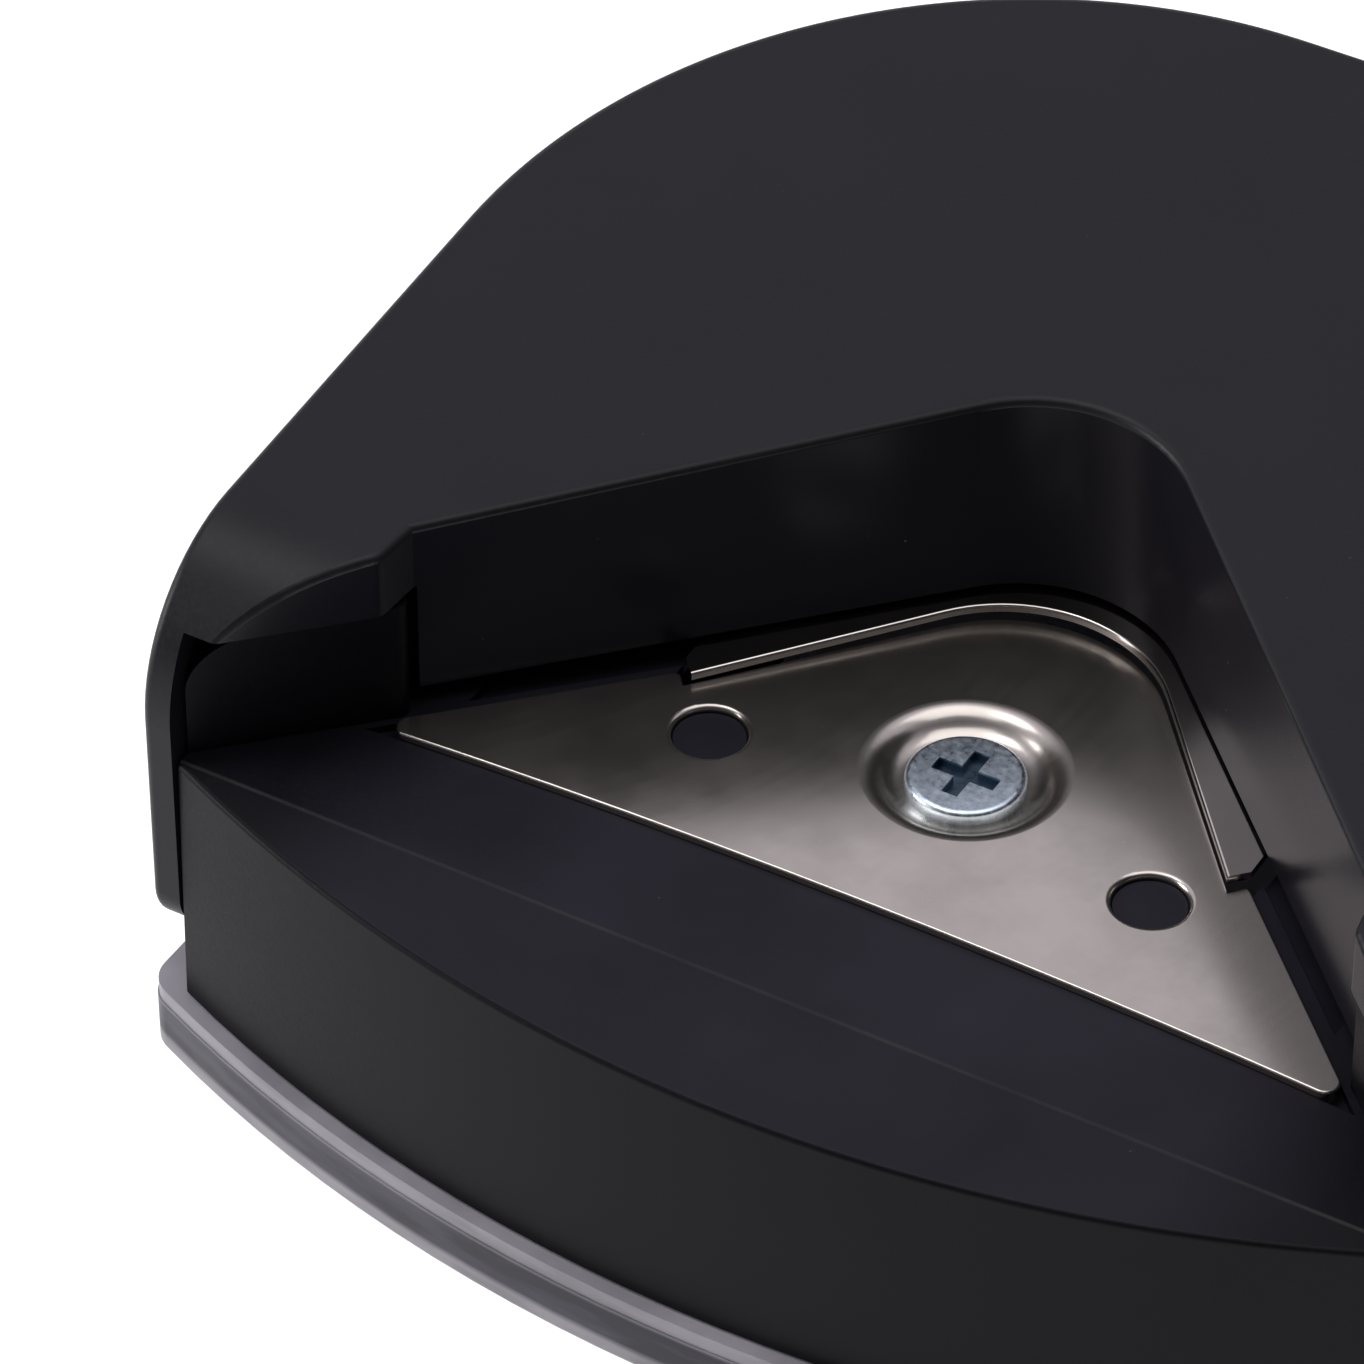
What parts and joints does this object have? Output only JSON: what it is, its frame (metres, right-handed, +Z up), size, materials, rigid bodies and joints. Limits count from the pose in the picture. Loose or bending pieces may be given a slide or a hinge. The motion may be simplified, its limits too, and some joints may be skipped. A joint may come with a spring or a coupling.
{
  "type": "corner rounding punch",
  "caption": "Hand punch that rounds the corners of paper: hinged lever with a V opening, steel cutting plate and blade, chip tray",
  "frame": {"origin": "middle of the bottom of the punch, on the table", "axes": "+X to the right across the paper opening, +Y towards the pressed end of the lever, +Z up"},
  "size_m": [0.0678, 0.067, 0.0331],
  "materials": {
    "housing_plastic": "fine-textured black",
    "lever_plastic": "fine-textured black",
    "tray_plastic": "frosted translucent",
    "plate_steel": "satin",
    "blade_steel": "ground",
    "zinc_steel": "zinc plated",
    "spring_steel": "bright wire",
    "bush_brass": "machined",
    "carrier_plastic": "moulded black"
  },
  "bodies": {
    "base": {"base_housing": "housing_plastic", "inner_frame": "zinc_steel", "frame_screws": "zinc_steel", "cutting_plate": "plate_steel", "plate_screw": "zinc_steel", "guide_post_left": "zinc_steel", "guide_post_right": "zinc_steel", "return_spring_left": "spring_steel", "return_spring_right": "spring_steel", "post_clips": "spring_steel", "hinge_pin_left": "zinc_steel", "hinge_pin_right": "zinc_steel"},
    "lever": {"lever_cover": "lever_plastic", "pressure_plate": "zinc_steel", "pressure_plate_screws": "zinc_steel"},
    "cutter": {"cutter_carrier": "carrier_plastic", "carrier_bush_left": "bush_brass", "carrier_bush_right": "bush_brass", "cutter_blade": "blade_steel", "blade_screws": "zinc_steel"},
    "tray": {"chip_tray": "tray_plastic"}
  },
  "joints": [
    {"name": "lever_hinge", "type": "hinge", "parent": "base", "child": "lever", "pos_m": [0, -0.0193, 0.0144], "axis": [-1, 0, 0], "range_deg": [0, 6], "stiffness_Nm_per_rad": 3.06, "springref_deg": -2.93},
    {"name": "cutter_slide", "type": "slide", "parent": "base", "child": "cutter", "axis": [0, 0, -1], "range_m": [0, 0.0031], "deforming": ["return_spring_left", "return_spring_right"]},
    {"name": "tray_slide", "type": "slide", "parent": "base", "child": "tray", "axis": [0, 0, -1], "range_m": [0, 0.012]}
  ],
  "couplings": [
    {"joint": "cutter_slide", "follows": "lever_hinge", "m_per_rad": 0.0293}
  ]
}
